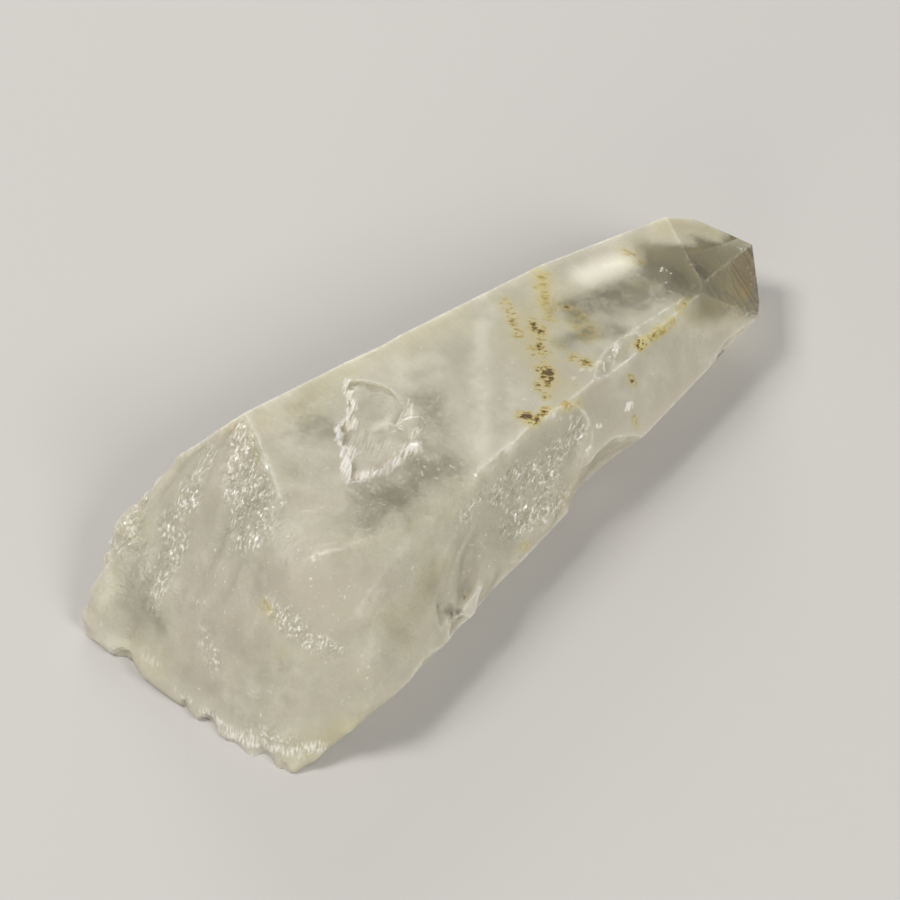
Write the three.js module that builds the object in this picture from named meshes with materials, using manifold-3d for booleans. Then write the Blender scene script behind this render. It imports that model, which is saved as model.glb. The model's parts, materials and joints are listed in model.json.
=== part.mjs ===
// A single quartz crystal: a tapered six-sided prism that ends in a low-angled point at +X and
// in a conchoidal break at -X. It lies on its lowest prism face. Millimetres, +Z up.
import * as THREE from "three";
import { mergeVertices } from "three/addons/utils/BufferGeometryUtils.js";
import Module from "manifold-3d";

const wasm = await Module();
wasm.setup();

// Driving dimensions. The faces below cut the crystal out of a blank of twice this size.
const LENGTH = 73; // break to point
const WIDTH = 31; // across the broken end
const HEIGHT = 15; // at the thick end
const BEYOND = 4 * LENGTH; // a block that reaches past the blank from any face

// Fracture detail.
const SCALLOP_SIDES = 22;
const SCALLOP_RINGS = 5;
const SCALLOP_OVERRUN = 1.35; // a scallop is cut this much past its radius, where the stone is convex
const TWO_LOBES = 0.13; // how far its outline strays from round, as a share of its radius
const THREE_LOBES = 0.08;
const RIPPLES = 1.5; // concentric ripples in one scallop
const RIPPLE_SHARE = 0.07; // ripple height as a share of the scallop's depth
const SPALL_DEPTH = 0.55; // at its left wall
const SPALL_TILT = 0.045; // how fast its floor rises towards the point
const HEADROOM = 3; // a cut carries on this far above the surface it starts from

// ---------------------------------------------------------------- solids

function solidOf(geometry) {
  const bare = geometry.clone();
  bare.deleteAttribute("normal");
  bare.deleteAttribute("uv");
  const merged = mergeVertices(bare, 1e-4);
  return new wasm.Manifold(
    new wasm.Mesh({
      numProp: 3,
      vertProperties: merged.attributes.position.array,
      triVerts: new Uint32Array(merged.index.array),
    }),
  );
}

function geometryOf(solid) {
  const mesh = solid.getMesh();
  const geometry = new THREE.BufferGeometry();
  geometry.setAttribute("position", new THREE.BufferAttribute(new Float32Array(mesh.vertProperties), 3));
  geometry.setIndex(new THREE.BufferAttribute(new Uint32Array(mesh.triVerts), 1));
  return geometry;
}

// A direction is a bearing round +Z from +X and a rise above level, both in degrees.
function direction(bearing, rise) {
  const around = THREE.MathUtils.degToRad(bearing);
  const up = THREE.MathUtils.degToRad(rise);
  return new THREE.Vector3(Math.cos(up) * Math.cos(around), Math.cos(up) * Math.sin(around), Math.sin(up));
}

// Moves a geometry made round the origin with +Z outwards to a place on the crystal. At spin 0
// its own +X keeps the heading that is nearest to the crystal's +X.
function place(geometry, { at, bearing, rise, spin = 0 }) {
  const outward = direction(bearing, rise);
  const along = new THREE.Vector3(1, 0, 0).projectOnPlane(outward).normalize();
  const across = new THREE.Vector3().crossVectors(outward, along);
  geometry.rotateZ(THREE.MathUtils.degToRad(spin));
  geometry.applyMatrix4(new THREE.Matrix4().makeBasis(along, across, outward));
  geometry.translate(...at);
  return geometry;
}

// Everything on the outer side of a flat face.
function beyond(face) {
  const block = new THREE.BoxGeometry(BEYOND, BEYOND, BEYOND);
  block.translate(0, 0, BEYOND / 2);
  return solidOf(place(block, face));
}

// ---------------------------------------------------------------- the crystal's own faces

const prismFaces = {
  top: { at: [0, 0, 13.05], bearing: -12.7, rise: 84.8 },
  front: { at: [20, -2.7, 11.2], bearing: -78, rise: 31 },
  backByPoint: { at: [20, 9.95, 11.5], bearing: 79, rise: 30 },
  back: { at: [14.2, 10.2, 12], bearing: 85, rise: 31 },
  backUnder: { at: [20, 13.2, 5.5], bearing: 84, rise: -30 },
  frontUnder: { at: [33.9, -3.6, 5], bearing: -77.6, rise: -35 },
  rest: { at: [0, 0, 0], bearing: 0, rise: -90 },
};

const pointFaces = {
  upper: { at: [30, -0.4, 10.4], bearing: -20, rise: 61.7 },
  front: { at: [30, -0.4, 10.4], bearing: -45.7, rise: 45.3 },
  tip: { at: [39.9, 2.7, 5.7], bearing: -35, rise: -14 },
  upperBack: { at: [37, 7.1, 8.3], bearing: 54, rise: 36 },
  back: { at: [39.1, 4.4, 6.7], bearing: 30, rise: 22 },
  lower: { at: [39.9, 3.1, 5.2], bearing: 8, rise: -52 },
  lowerBack: { at: [37.5, 6.5, 5.2], bearing: 50, rise: -25 },
  lowerFront: { at: [34.5, -3.2, 4.6], bearing: -50, rise: -42 },
};

// The broken end, roughed out as flats before it is scalloped.
const breakFaces = {
  upper: { at: [-18.7, 0.4, 14.8], bearing: 157, rise: 48 },
  lower: { at: [-31.2, 0, 1], bearing: 196.5, rise: 34 },
  back: { at: [-18.5, 14.1, 10], bearing: 95, rise: 30 },
  shoulder: { at: [-21.8, 15.3, 7], bearing: 107, rise: 19 },
  side: { at: [-27, 13.9, 3.4], bearing: 120, rise: 9 },
  corner: { at: [-31.8, 11.4, 0.6], bearing: 133, rise: 4 },
  front: { at: [-23.6, -12.9, 7.5], bearing: 236, rise: 36 },
  foot: { at: [-31.4, -1, 1], bearing: 189, rise: -38 },
  frontFoot: { at: [-26, -14.5, 3.1], bearing: 252, rise: -22 },
  upperEdge: { at: [-8, -7.9, 13.3], bearing: 266, rise: 62 },
  upperCorner: { at: [-17, -9.9, 13], bearing: 244, rise: 50 },
};

function grownCrystal() {
  const blank = new THREE.BoxGeometry(2 * LENGTH, 2 * WIDTH, 2 * HEIGHT);
  let body = solidOf(blank);
  for (const faces of [prismFaces, pointFaces, breakFaces]) {
    for (const face of Object.values(faces)) body = body.subtract(beyond(face));
  }
  return body;
}

// ---------------------------------------------------------------- fractures

// The stone that a conchoidal flake took with it: a shallow rippled bowl and all that lay over it.
function scallop({ radius, depth, stretch = 1, ...where }) {
  const profile = [];
  for (let ring = 0; ring <= SCALLOP_RINGS; ring += 1) {
    const out = (SCALLOP_OVERRUN * ring) / SCALLOP_RINGS;
    const ripple = RIPPLE_SHARE * out * Math.cos(2 * Math.PI * RIPPLES * out);
    profile.push(new THREE.Vector2(radius * out, depth * (out * out - 1 + ripple)));
  }
  const rim = profile[profile.length - 1];
  const lid = rim.y + HEADROOM;
  profile.push(new THREE.Vector2(rim.x, lid), new THREE.Vector2(0, lid));
  const bowl = new THREE.LatheGeometry(profile, SCALLOP_SIDES);
  bowl.rotateX(Math.PI / 2);
  wobble(bowl, where.at[0] + where.at[1]);
  bowl.scale(stretch, 1, 1);
  return solidOf(place(bowl, where));
}

// Pulls a round outline out of true, differently for each phase.
function wobble(bowl, phase) {
  const points = bowl.attributes.position;
  for (let index = 0; index < points.count; index += 1) {
    const x = points.getX(index);
    const y = points.getY(index);
    const around = Math.atan2(y, x);
    const twoLobes = TWO_LOBES * Math.sin(2 * around + phase);
    const threeLobes = THREE_LOBES * Math.sin(3 * around + 2 * phase);
    const swell = 1 + twoLobes + threeLobes;
    points.setXY(index, x * swell, y * swell);
  }
}

// Broad flake scars that make up the broken end.
const breakScallops = [
  { at: [-17, 6.4, 13.6], bearing: 158, rise: 56, radius: 4.6, depth: 0.5, stretch: 1.4, spin: 70 },
  { at: [-20.6, 5.2, 11.4], bearing: 166, rise: 44, radius: 5.6, depth: 0.6, stretch: 1.4, spin: 80 },
  { at: [-19, 11.2, 10.6], bearing: 138, rise: 48, radius: 3.8, depth: 0.4, stretch: 1.5, spin: 60 },
  { at: [-24.7, 9, 6.8], bearing: 152, rise: 49, radius: 3.2, depth: 0.3, stretch: 1.6, spin: 60 },
  { at: [-21.6, -1.2, 12], bearing: 174, rise: 50, radius: 5, depth: 0.5, stretch: 1.3, spin: 100 },
  { at: [-25.8, 3.6, 7.8], bearing: 176, rise: 40, radius: 5.4, depth: 0.5, stretch: 1.4, spin: 80 },
  { at: [-29.4, 5.6, 3.4], bearing: 172, rise: 42, radius: 3, depth: 0.35, stretch: 1.3, spin: 90 },
  { at: [-27.4, -3.4, 6], bearing: 196, rise: 38, radius: 6.4, depth: 0.4, stretch: 1.3, spin: 60 },
  { at: [-21.8, -8, 10.4], bearing: 215, rise: 44, radius: 5, depth: 0.4, stretch: 1.4, spin: 110 },
  { at: [-24.6, -10.6, 5.6], bearing: 222, rise: 36, radius: 5.4, depth: 0.35, stretch: 1.2, spin: 90 },
];

// The nibbled lower rim of the broken end, from the back corner round to the front.
const rimScallops = [
  { at: [-32.6, 5.3, 1.2], bearing: 168, rise: -4, radius: 1.5, depth: 0.75 },
  { at: [-32.2, 2.2, 1.2], bearing: 188, rise: -4, radius: 2.1, depth: 0.6 },
  { at: [-31.4, -1.4, 1], bearing: 190, rise: -8, radius: 2, depth: 0.45 },
  { at: [-30.6, -4.7, 0.9], bearing: 194, rise: -6, radius: 2.1, depth: 0.55 },
  { at: [-29.8, -7.8, 0.8], bearing: 196, rise: -8, radius: 1.8, depth: 0.5 },
  { at: [-28.9, -10.6, 0.9], bearing: 202, rise: -6, radius: 1.7, depth: 0.5 },
  { at: [-19.2, -15.2, 4], bearing: -94, rise: -16, radius: 2.8, depth: 0.45, stretch: 1.4 },
  { at: [-13.6, -14, 4.6], bearing: -80, rise: -10, radius: 2.4, depth: 0.45, stretch: 1.3 },
  { at: [-9.6, -12.9, 4.9], bearing: -66, rise: 4, radius: 1.3, depth: 0.7 },
];

// Flakes lost from the front prism faces, between the thick end and the slender part.
const frontScallops = [
  { at: [-1.2, -8.5, 8.6], bearing: -74, rise: 29, radius: 6, depth: 1, stretch: 1.1, spin: 20 },
  { at: [5.6, -7.2, 8.8], bearing: -80, rise: 30, radius: 5.6, depth: 1, stretch: 1.1, spin: -20 },
  { at: [12.4, -7.4, 3.6], bearing: -84, rise: -16, radius: 6, depth: 1.7, stretch: 0.95 },
  { at: [4.2, -9.6, 5.8], bearing: -72, rise: 8, radius: 3.8, depth: 0.7, stretch: 1.3 },
  { at: [-3.4, -11.2, 5.2], bearing: -78, rise: 0, radius: 3.2, depth: 0.6, stretch: 1.2 },
  { at: [9.6, -6.2, 9], bearing: -92, rise: 36, radius: 2.6, depth: 0.7, stretch: 1.2, spin: 60 },
];

// Narrow flutes that run down the front face at the left end of those flakes.
const flutes = [
  { at: [-6, -9.6, 7], bearing: -66, rise: 28, radius: 0.85, depth: 0.5, stretch: 3.8, spin: 40 },
  { at: [-7.5, -9.9, 7.4], bearing: -66, rise: 29, radius: 0.75, depth: 0.4, stretch: 4, spin: 42 },
  { at: [-9, -10.4, 7.6], bearing: -70, rise: 30, radius: 0.65, depth: 0.3, stretch: 4, spin: 44 },
];

// Smaller chips on the faces and edges that look away or down.
const backScallops = [
  { at: [-9.5, 15.2, 6], bearing: 84, rise: -4, radius: 3.4, depth: 0.7, stretch: 2 },
  { at: [4.2, 14.6, 5.4], bearing: 84, rise: -8, radius: 2.2, depth: 0.5, stretch: 2.4 },
  { at: [24.5, 12.1, 5.4], bearing: 80, rise: 2, radius: 1.8, depth: 0.5, stretch: 2.2 },
  { at: [-17, 15.1, 4.8], bearing: 96, rise: -16, radius: 3.6, depth: 0.6, stretch: 1.3 },
  { at: [-25, 13, 1.6], bearing: 115, rise: -30, radius: 3.6, depth: 0.7, stretch: 1.4 },
  { at: [1.5, 10.9, 13.2], bearing: 84, rise: 52, radius: 3.4, depth: 0.35, stretch: 1.8 },
  { at: [30.5, -4.2, 5.1], bearing: -78, rise: 0, radius: 1.2, depth: 0.25, stretch: 2.4 },
];

// A chip on the edge between the top and front faces.
const edgeChips = [
  { at: [16.6, -2.6, 11.5], bearing: -55, rise: 62, radius: 1.4, depth: 0.4, stretch: 2, spin: 14 },
];

// The spall on the top face: a ragged outline in plan, X then Y, deepest along its steep left wall.
const spallWall = [-9.4, 1.6];
const spallOutline = [
  [-3.9, 9.0],
  [-5.2, 7.1],
  [-6.5, 5.4],
  [-7.6, 5.3],
  [-8.7, 3.9],
  spallWall,
  [-10.9, -0.4],
  [-9.7, -1.1],
  [-8.6, -0.7],
  [-7.7, -0.9],
  [-5.7, -0.4],
  [-3.6, 0.2],
  [-2.9, 1.3],
  [-3.8, 2.3],
  [-1.9, 3.6],
  [-1.4, 5.1],
  [-1.6, 6.6],
  [-2.6, 8.1],
];

// An upright plug over the outline, its underside sheared to rise along +X faster than the top face.
function spall() {
  const outline = new THREE.Shape(spallOutline.map(([x, y]) => new THREE.Vector2(x, y)));
  const plug = new THREE.ExtrudeGeometry(outline, { depth: HEADROOM, bevelEnabled: false });
  const [wallX, wallY] = spallWall;
  const outward = direction(prismFaces.top.bearing, prismFaces.top.rise);
  const topAtWall = prismFaces.top.at[2] - (outward.x * wallX + outward.y * wallY) / outward.z;
  const rise = -outward.x / outward.z + SPALL_TILT;
  plug.translate(-wallX, -wallY, 0);
  plug.applyMatrix4(new THREE.Matrix4().makeShear(0, rise, 0, 0, 0, 0));
  return solidOf(plug.translate(wallX, wallY, topAtWall - SPALL_DEPTH));
}

function worn(body) {
  let stone = body;
  for (const flakes of [breakScallops, rimScallops, frontScallops, flutes, backScallops, edgeChips]) {
    for (const flake of flakes) stone = stone.subtract(scallop(flake));
  }
  return stone.subtract(spall());
}

// ---------------------------------------------------------------- the part

const stone = geometryOf(worn(grownCrystal()));
stone.computeBoundingBox();
const middle = stone.boundingBox.getCenter(new THREE.Vector3());
stone.translate(-middle.x, -middle.y, -stone.boundingBox.min.z);
const crystal = new THREE.Mesh(
  stone,
  new THREE.MeshStandardMaterial({ color: 0xb9b39c, roughness: 0.15, metalness: 0 }),
);
crystal.name = "quartz_crystal";
const specimen = new THREE.Group();
specimen.add(crystal);
export default specimen;
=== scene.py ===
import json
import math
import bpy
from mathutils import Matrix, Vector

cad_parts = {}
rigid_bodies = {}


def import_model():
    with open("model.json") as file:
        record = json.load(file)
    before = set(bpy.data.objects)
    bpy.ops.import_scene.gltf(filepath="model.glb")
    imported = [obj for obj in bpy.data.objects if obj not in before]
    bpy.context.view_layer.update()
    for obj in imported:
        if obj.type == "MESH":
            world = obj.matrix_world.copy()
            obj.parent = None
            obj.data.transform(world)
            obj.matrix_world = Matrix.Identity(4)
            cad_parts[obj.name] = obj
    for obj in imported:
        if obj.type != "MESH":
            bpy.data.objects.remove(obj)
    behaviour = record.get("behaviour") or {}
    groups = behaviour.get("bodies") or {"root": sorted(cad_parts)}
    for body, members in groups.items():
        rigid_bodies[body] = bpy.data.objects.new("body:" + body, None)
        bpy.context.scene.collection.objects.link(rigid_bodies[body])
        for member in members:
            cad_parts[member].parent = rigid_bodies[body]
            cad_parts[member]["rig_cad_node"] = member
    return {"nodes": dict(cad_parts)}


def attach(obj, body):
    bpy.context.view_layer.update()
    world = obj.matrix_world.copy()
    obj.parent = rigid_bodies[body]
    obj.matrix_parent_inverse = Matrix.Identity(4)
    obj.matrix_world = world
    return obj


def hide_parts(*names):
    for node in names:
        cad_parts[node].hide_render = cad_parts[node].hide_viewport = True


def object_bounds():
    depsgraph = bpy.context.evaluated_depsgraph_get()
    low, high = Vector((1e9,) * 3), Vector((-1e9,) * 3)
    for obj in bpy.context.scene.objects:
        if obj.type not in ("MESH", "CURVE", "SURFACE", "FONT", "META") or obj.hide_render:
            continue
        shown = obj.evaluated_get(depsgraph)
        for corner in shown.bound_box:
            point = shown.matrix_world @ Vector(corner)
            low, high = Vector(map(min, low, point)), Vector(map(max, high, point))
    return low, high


bl_info = {
    "name": "Quartz crystal",
    "version": (1, 0, 0),
    "blender": (4, 5, 0),
    "location": "3D View > Sidebar > Quartz",
    "description": "A milky quartz crystal with a clear point, an iron stain and a broken end",
    "category": "Object",
}

import bmesh
import bpy
import numpy
from bpy.props import FloatProperty, FloatVectorProperty, IntProperty, PointerProperty
from mathutils import Vector, noise
from mathutils.bvhtree import BVHTree
from mathutils.kdtree import KDTree

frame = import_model()
CAD_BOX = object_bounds()
NODE = "quartz_crystal"
MM = 0.001
SEED = 3  # for the noises that stray places, which Blender otherwise starts from the clock

# The directions of the faces that grew flat: a bearing round +Z from +X and a rise, in degrees.
GROWN_FACES = {
    "top": (-12.7, 84.8),
    "front": (-78, 31),
    "back by the point": (79, 30),
    "back": (85, 31),
    "back under": (84, -30),
    "front under": (-77.6, -35),
    "rest": (0, -90),
    "point upper": (-20, 61.7),
    "point front": (-45.7, 45.3),
    "point tip": (-35, -14),
    "point upper back": (54, 36),
    "point back": (30, 22),
    "point lower": (8, -52),
    "point lower back": (50, -25),
    "point lower front": (-50, -42),
}
# A facet lies on a grown face when it looks the same way and is as near as this to the face's plane.
FACE_TURN = math.radians(0.8)
FACE_STEP = 0.03 * MM

MERGED_WITHIN = 0.001 * MM
FLAT_TURN = math.radians(2)  # facets that turn less than this are flat enough to be joined up otherwise
CREASE = math.radians(20)  # flat faces that turn more than this meet in an edge
CREASE_STEP = 0.3 * MM  # between the points kept along an edge
SMOOTH_TURN = math.radians(32)  # facets that turn less than this are shaded as one surface
EDGE_HIGHLIGHT_WIDTH = 0.3 * MM  # of the painted highlight along an edge, a white line
RIM_WIDTH = 2.5 * MM  # how far from a break its rim strays
BROAD_STRAY = 1.7 * MM
NARROW_STRAY = 0.6 * MM
ROUNDED_WITHIN = 6 * MM  # of the shoulder's middle lines
SHOULDER_STEP = 2.0  # millimetres between the points kept along those lines
DETAIL_REACH = 1.0 * MM  # of the small marks' middle lines
DETAIL_STEP = 0.4  # millimetres between the points kept along those lines
SETTLING = 8  # how often a break is smoothed once it has been thinned

QUARTZ_IOR = 1.544
ABSORBED = (0.95, 0.92, 0.82, 1.0)  # the colour that light takes on its way through
ABSORPTION = 140.0  # per metre
WORLD_COLOUR = (0.97, 0.95, 0.92, 1.0)
WORLD_STRENGTH = 0.25
FLOOR_RADIUS = 2.5
FLOOR_DROP = 0.02 * MM  # below the crystal, so that the two don't share a plane

# Each light's name, place, width and length, power in watts and colour. They all look at the crystal.
LIGHTS = (
    ("key light", (-0.3, 0.3, 0.6), (0.25, 0.25), 3.2, (1.0, 0.98, 0.95)),
    ("fill light", (0.12, -0.55, 0.42), (0.3, 0.3), 2.4, (1.0, 0.99, 0.97)),
    ("side light", (-0.5, -0.32, 0.16), (0.25, 0.25), 0.8, (1.0, 0.98, 0.94)),
    ("back light", (0.35, 0.5, 0.22), (0.3, 0.3), 1.4, (1.0, 0.99, 0.97)),
)

# Places on the crystal are in millimetres. A mark is two ends, a reach and a strength.


def along(points, reach, strength):
    """Marks end to end along some points."""
    return [(first, last, reach, strength) for first, last in zip(points, points[1:])]


SOFT_SHOULDER = [
    ((-8.5, -8.5, 12), (-15, -9, 12.5), 4.5, 1),
    ((-15, -8.5, 13), (-23, -8, 12), 6.0, 1),
    ((-16, -11, 10), (-24, -13, 8), 6.0, 1),
    ((-23, -13, 7), (-26.5, -15, 2.5), 5.5, 1),
    ((-13, -6.5, 13.8), (-20.5, -4, 13.8), 4.0, 1),
    ((-20.5, -4, 13.8), (-22.6, -1, 13.8), 3.2, 1),
    ((-21.6, -0.6, 14.4), (-18.6, -1.6, 14.3), 2.6, 1),
    ((-7.0, 0.5, 13.4), (-5.6, 0.2, 13.4), 1.3, 1),
]
SPARKLES = [
    ((-18.0, 9.6, 14.0), (-20.4, 5.2, 13.0), 2.6, 1.0),
    ((-20.4, 5.6, 13.0), (-23.4, 1.8, 12.6), 3.6, 1.0),
    ((-21.0, 11.2, 10.8), (-24.8, 9.2, 9.4), 1.9, 1.0),
    ((-26.3, 9.8, 7.7), (-27.4, 7.6, 7.8), 2.0, 1.0),
    ((-27.4, 7.6, 7.8), (-31.7, 5.7, 4.9), 2.0, 1.0),
    ((-26.9, -4.4, 10.7), (-25.7, -7.7, 10.4), 0.9, 1.0),
    ((-26.6, -5.8, 10.2), (-25.0, -10.8, 9.1), 1.2, 1.0),
    ((-31.7, -8.5, 1.6), (-29.6, -13.4, 1.9), 1.3, 0.8),
    ((-26.3, 14.0, 6.4), (-29.5, 12.5, 4.6), 1.8, 1.0),
    ((-29.5, 1.0, 6.6), (-31.5, -3.0, 5.0), 1.2, 0.6),
    ((-29.5, 12.8, 4.8), (-33.2, 10.8, 2.8), 1.5, 0.8),
    ((-30.0, 8.6, 5.0), (-31.0, 5.6, 5.2), 1.0, 0.6),
    ((-3.4, -7.2, 9.6), (2.6, -7.0, 8.2), 2.4, 1.0),
    ((2.6, -7.0, 8.2), (6.4, -6.4, 9.6), 1.8, 1.0),
    ((-3.8, -9.4, 7.0), (2.4, -8.8, 5.6), 1.8, 1.0),
    ((-9.0, -8.6, 11.0), (-6.0, -7.6, 11.0), 1.4, 0.9),
    ((7.8, -6.1, 2.0), (6.6, -7.0, 4.0), 1.0, 0.9),
    ((11.6, -3.4, 11.4), (14.4, -2.6, 11.1), 0.9, 0.8),
]
LEDGES = [
    ((-22.6, 13.6, 8.6), (-28.8, 13.4, 4.8), 1.8, 1.0),
    ((-28.8, 13.4, 4.8), (-33.4, 10.6, 2.6), 2.4, 1.0),
    ((-33.4, 10.6, 2.6), (-36.0, 7.7, 0.8), 2.4, 0.7),
]
FULL_SIDE = [
    ((-28.8, 13.2, 4.8), (-30.8, 11.8, 3.7), 2.6, 0.8),
    ((-30.8, 11.8, 3.7), (-33.6, 10.2, 2.0), 3.2, 1.0),
    ((-33.6, 10.2, 2.0), (-35.0, 10.0, 0.8), 2.0, 0.7),
]
NOTCHES = [
    ((-36.1, 4.6, 0.6), (-36.4, 3.4, 1.0), 1.7, 1.0),
    ((-34.6, -2.7, 0.7), (-34.9, -2.8, 0.7), 1.1, 0.5),
    ((-34.0, -5.0, 0.4), (-34.4, -5.2, 0.3), 1.3, 0.6),
    ((-32.4, -10.8, 0.2), (-32.8, -11.0, 0.2), 1.3, 0.5),
    ((-32.1, -13.0, 0.2), (-32.4, -13.2, 0.2), 1.1, 0.5),
]
INWARD = Vector((0.85, 0.52, 0.0))  # the way the notches go into the rim
HACKLE = (-0.83, -0.38, -0.42)  # the way the steps in the broken end run

ZONE_TURN = (0, 0, -40.5)  # the growth zones cross the crystal aslant
HACKLE_TURN = (0, -25, 25)
FIBRE_TURN = (0, 0, 35)
DASH_TURN = (0, 0, -45)
ZONE_BAND = along([(-3.5, -4.6, 12.6), (7.6, 8.3, 12.0)], 1.7, 1.0)
POINT = [((30.0, 1.0, 6.5), (35.5, 0.8, 4.5), 8.0, 1.3)]
WINDOWS = [
    ((27.5, 1.4, 7.5), (35.0, 1.0, 5.0), 12.0, 1.5),
    ((26.0, -1.0, 9.4), (33.0, -2.0, 5.6), 5.0, 1.35),
    ((14.6, 3.2, 11.2), (25.0, 0.8, 10.9), 5.4, 0.74),
    ((11.6, 0.3, 11.7), (15.5, -0.8, 11.5), 3.6, 0.68),
    ((-10.4, 9.2, 13.5), (-13.4, 5.8, 13.8), 6.0, 0.66),
    ((-8.0, -4.4, 13.2), (-15.8, -4.6, 13.8), 7.4, 0.7),
    ((-13.0, -11.0, 9.6), (-18.5, -12.2, 8.4), 5.6, 0.6),
    ((-3.0, 3.6, 13.0), (-7.2, -3.4, 13.2), 5.8, 0.58),
    ((-28.5, 12.0, 5.2), (-32.5, 8.5, 3.4), 4.0, 0.65),
    ((-30.5, 9.5, 4.0), (-32.5, 3.0, 3.6), 3.0, 0.6),
    ((-17.0, 9.0, 14.2), (-18.6, 3.0, 14.2), 3.4, 0.52),
    ((18.0, 9.6, 7.0), (8.0, 12.0, 6.0), 5.0, 0.6),
    ((-6.0, 13.6, 8.0), (-14.0, 14.4, 7.0), 5.0, 0.6),
]
FOG = [
    ((6.0, -6.0, 8.0), (27.0, -6.2, 6.0), 4.4, 1.2),
    ((27.0, -6.2, 6.0), (30.5, -5.0, 4.0), 3.2, 0.7),
    ((29.0, 6.4, 10.0), (33.2, 5.2, 8.0), 3.2, 0.85),
    ((27.4, 5.6, 10.4), (29.6, 4.2, 9.6), 2.2, 0.6),
]
WARM = [
    ((28.0, 6.6, 10.2), (34.0, 4.6, 7.6), 2.4, 1.0),
    ((-9.0, 10.6, 13.0), (4.6, 8.6, 12.2), 3.4, 0.5),
    ((-13.6, 11.6, 13.6), (-18.0, 11.4, 13.2), 2.6, 0.8),
    ((-26.6, -15.2, 3.2), (-30.5, -13.4, 1.6), 2.6, 0.8),
    ((-34.0, 5.4, 1.6), (-34.4, 1.4, 2.0), 2.4, 0.5),
    ((3.0, -9.2, 5.0), (8.6, -6.4, 5.0), 2.2, 0.7),
    ((8.0, 3.0, 12.0), (13.5, 4.0, 11.7), 5.5, 0.55),
    ((22.0, -3.6, 9.6), (27.0, -2.6, 9.2), 1.6, 0.5),
]
# Crushed white quartz, with some painted light among the marks: glints and the lit thin bottom rim.
BRUISES_AND_PAINTED_LIGHT = (
    along([(-7.8, 8.2, 13.6), (-9.0, 6.4, 13.5), (-10.2, 4.6, 13.4)], 0.7, 1.2)
    + along([(-10.5, 4.6, 13.5), (-12.5, 2.4, 13.8), (-14.2, 0.0, 13.9)], 1.05, 1.25)
    + along([(-11.8, 4.2, 13.5), (-12.4, 3.2, 13.4)], 1.0, 1.2)
    + along([(-14.4, -0.5, 13.9), (-11.8, -1.3, 13.7), (-8.2, -1.1, 13.4)], 1.5, 0.72)
    + along([(-8.1, -1.1, 13.4), (-6.6, 0.3, 13.3)], 0.9, 0.5)
    + along([(-4.8, 3.0, 13.3), (-6.2, 1.7, 13.3)], 0.6, 0.7)
    + along([(-10.5, 3.0, 13.2), (-10.0, 0.8, 13.3)], 3.2, 0.34)
    + along([(24.3, 2.5, 10.6), (24.9, 2.2, 10.6)], 0.35, 0.7)
    + along([(34.5, 2.2, 6.8), (34.9, 2.0, 6.6)], 0.35, 0.9)
    # These three are painted glints: small white highlights on the front and by the chip.
    + along([(12.3, -6.2, 7.9), (13.3, -6.2, 7.8)], 0.55, 1.3)
    + along([(8.4, -6.6, 8.6), (8.9, -6.7, 8.5)], 0.4, 1.2)
    + along([(12.6, -3.3, 11.3), (14.6, -2.3, 11.1)], 0.3, 0.9)
    # These two run along the bottom rim: white flecks, and painted light where the thin rim glows.
    + along([(-34.2, 3.4, 2.2), (-34.0, -1.0, 1.2), (-33.2, -7.5, 0.8)], 1.0, 0.6)
    + along([(-33.2, -7.5, 0.8), (-30.9, -12.5, 1.6), (-28.7, -14.1, 2.2)], 1.0, 0.7)
)
# A painted glow: a soft blurred highlight inside the clear point, painted as pale colour.
PAINTED_GLOW = [
    ((18.2, 6.0, 11.2), (22.4, 5.3, 10.8), 2.4, 0.85),
    ((20.4, 5.8, 11.0), (21.8, 5.4, 10.9), 1.5, 1.0),
]
THREADS = (
    along([(11.2, -2.3, 11.7), (8.0, -3.4, 12.0)], 0.16, 0.9)
    + along([(15.3, -2.0, 11.2), (18.4, -1.7, 11.1), (22.5, -1.7, 10.7), (25.3, -1.0, 10.5)], 0.14, 0.8)
    + along([(25.3, -1.0, 10.5), (28.2, -0.7, 9.3)], 0.12, 0.5)
    + along([(10.5, -3.2, 11.8), (15.0, -2.2, 11.3)], 0.2, 0.9)
    + along([(23.5, 3.2, 10.7), (26.5, 1.2, 10.5)], 0.1, 0.45)
    + along([(-10.6, 4.2, 13.2), (-8.5, 2.8, 13.2), (-6.9, 1.2, 13.2)], 0.3, 0.7)
)
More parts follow.
